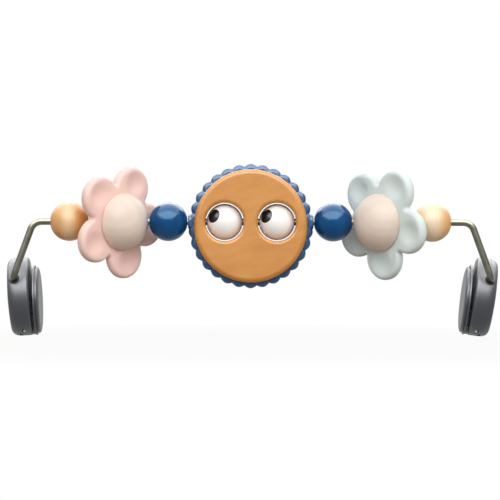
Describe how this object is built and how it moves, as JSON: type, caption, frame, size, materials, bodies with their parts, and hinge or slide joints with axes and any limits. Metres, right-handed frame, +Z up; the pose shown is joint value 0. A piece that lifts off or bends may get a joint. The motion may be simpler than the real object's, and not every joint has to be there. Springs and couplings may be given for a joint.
{
  "type": "bouncer toy bar",
  "caption": "Bent wire toy bar for a baby bouncer, with turning wooden beads, petal flowers, a round face with rolling eyes, and swivelling seat clips with sprung jaws.",
  "frame": {"origin": "midway between the two clips, at the height of their discs' centres, where the seat that holds the bar lies between the clips", "axes": "+X to the right along the bar, -Y towards the viewer of the face, +Z up"},
  "size_m": [0.4471, 0.1142, 0.1564],
  "materials": {
    "satin_wire": "satin plated spring wire",
    "plated_steel": "plated steel",
    "golden_wood": "clear lacquered golden wood",
    "pale_wood": "clear lacquered pale wood",
    "honey_wood": "honey stained wood, satin lacquer",
    "blue_lacquer": "wood with blue gloss lacquer",
    "blue_plastic": "blue moulded plastic, satin",
    "pink_plastic": "pale pink moulded plastic",
    "mint_plastic": "pale mint moulded plastic",
    "cream_lacquer": "wood with cream lacquer",
    "white_lacquer": "wood with white lacquer",
    "black_lacquer": "black lacquered wood",
    "grey_plastic": "slate grey moulded plastic, satin",
    "grip_rubber": "soft dark grip rubber",
    "dowel_wood": "plain beech"
  },
  "bodies": {
    "bar": {"bar_wire": "satin_wire", "left_wire_retainer": "plated_steel", "right_wire_retainer": "plated_steel"},
    "left_wood_bead": {"left_wood_bead": "golden_wood"},
    "pink_flower": {"pink_flower_petals": "pink_plastic", "pink_flower_front_dome": "cream_lacquer", "pink_flower_rear_dome": "cream_lacquer", "pink_flower_upper_dowel": "dowel_wood", "pink_flower_lower_dowel": "dowel_wood"},
    "left_blue_bead": {"left_blue_bead": "blue_lacquer"},
    "face": {"face_disc": "honey_wood", "scallop_disc": "blue_plastic", "upper_left_face_screw": "plated_steel", "upper_right_face_screw": "plated_steel", "lower_left_face_screw": "plated_steel", "lower_right_face_screw": "plated_steel"},
    "left_eye": {"left_eye_ball": "white_lacquer", "left_pupil": "black_lacquer"},
    "right_eye": {"right_eye_ball": "white_lacquer", "right_pupil": "black_lacquer"},
    "right_blue_bead": {"right_blue_bead": "blue_lacquer"},
    "mint_flower": {"mint_flower_petals": "mint_plastic", "mint_flower_front_dome": "cream_lacquer", "mint_flower_rear_dome": "cream_lacquer", "mint_flower_upper_dowel": "dowel_wood", "mint_flower_lower_dowel": "dowel_wood"},
    "right_wood_bead": {"right_wood_bead": "pale_wood"},
    "left_clip": {"left_clip_drum": "grey_plastic", "left_clip_cover": "grey_plastic", "left_outer_pad": "grip_rubber", "left_hinge_pin": "plated_steel", "left_jaw_spring": "plated_steel"},
    "left_jaw": {"left_jaw": "grey_plastic", "left_inner_pad": "grip_rubber"},
    "right_clip": {"right_clip_drum": "grey_plastic", "right_clip_cover": "grey_plastic", "right_outer_pad": "grip_rubber", "right_hinge_pin": "plated_steel", "right_jaw_spring": "plated_steel"},
    "right_jaw": {"right_jaw": "grey_plastic", "right_inner_pad": "grip_rubber"}
  },
  "joints": [
    {"name": "left_wood_bead_spin", "type": "hinge", "parent": "bar", "child": "left_wood_bead", "pos_m": [-0.1645, -0.04109, 0.0686], "axis": [1, 0, 0], "continuous": true},
    {"name": "pink_flower_spin", "type": "hinge", "parent": "bar", "child": "pink_flower", "pos_m": [-0.12005, -0.04109, 0.0686], "axis": [1, 0, 0], "continuous": true},
    {"name": "left_blue_bead_spin", "type": "hinge", "parent": "bar", "child": "left_blue_bead", "pos_m": [-0.0756, -0.04109, 0.0686], "axis": [1, 0, 0], "continuous": true},
    {"name": "face_spin", "type": "hinge", "parent": "bar", "child": "face", "pos_m": [-0.0015, -0.04109, 0.0686], "axis": [1, 0, 0], "continuous": true},
    {"name": "left_eye_spin", "type": "hinge", "parent": "bar", "child": "left_eye", "pos_m": [-0.025, -0.04109, 0.0686], "axis": [1, 0, 0], "continuous": true},
    {"name": "right_eye_spin", "type": "hinge", "parent": "bar", "child": "right_eye", "pos_m": [0.022, -0.04109, 0.0686], "axis": [1, 0, 0], "continuous": true},
    {"name": "right_blue_bead_spin", "type": "hinge", "parent": "bar", "child": "right_blue_bead", "pos_m": [0.0726, -0.04109, 0.0686], "axis": [1, 0, 0], "continuous": true},
    {"name": "mint_flower_spin", "type": "hinge", "parent": "bar", "child": "mint_flower", "pos_m": [0.11705, -0.04109, 0.0686], "axis": [1, 0, 0], "continuous": true},
    {"name": "right_wood_bead_spin", "type": "hinge", "parent": "bar", "child": "right_wood_bead", "pos_m": [0.1615, -0.04109, 0.0686], "axis": [1, 0, 0], "continuous": true},
    {"name": "left_clip_swivel", "type": "hinge", "parent": "bar", "child": "left_clip", "pos_m": [-0.21554, 0, 0.0171], "axis": [0, 1, 0], "continuous": true},
    {"name": "left_jaw_hinge", "type": "hinge", "parent": "left_clip", "child": "left_jaw", "pos_m": [-0.20739, 0, -0.03075], "axis": [0, 1, 0], "range_deg": [0, 18], "stiffness_Nm_per_rad": 0.6, "springref_deg": -17.19},
    {"name": "right_clip_swivel", "type": "hinge", "parent": "bar", "child": "right_clip", "pos_m": [0.21554, 0, 0.0171], "axis": [0, 1, 0], "continuous": true},
    {"name": "right_jaw_hinge", "type": "hinge", "parent": "right_clip", "child": "right_jaw", "pos_m": [0.20407, 0, -0.03006], "axis": [0, -1, 0], "range_deg": [0, 18], "stiffness_Nm_per_rad": 0.6, "springref_deg": -17.19}
  ]
}
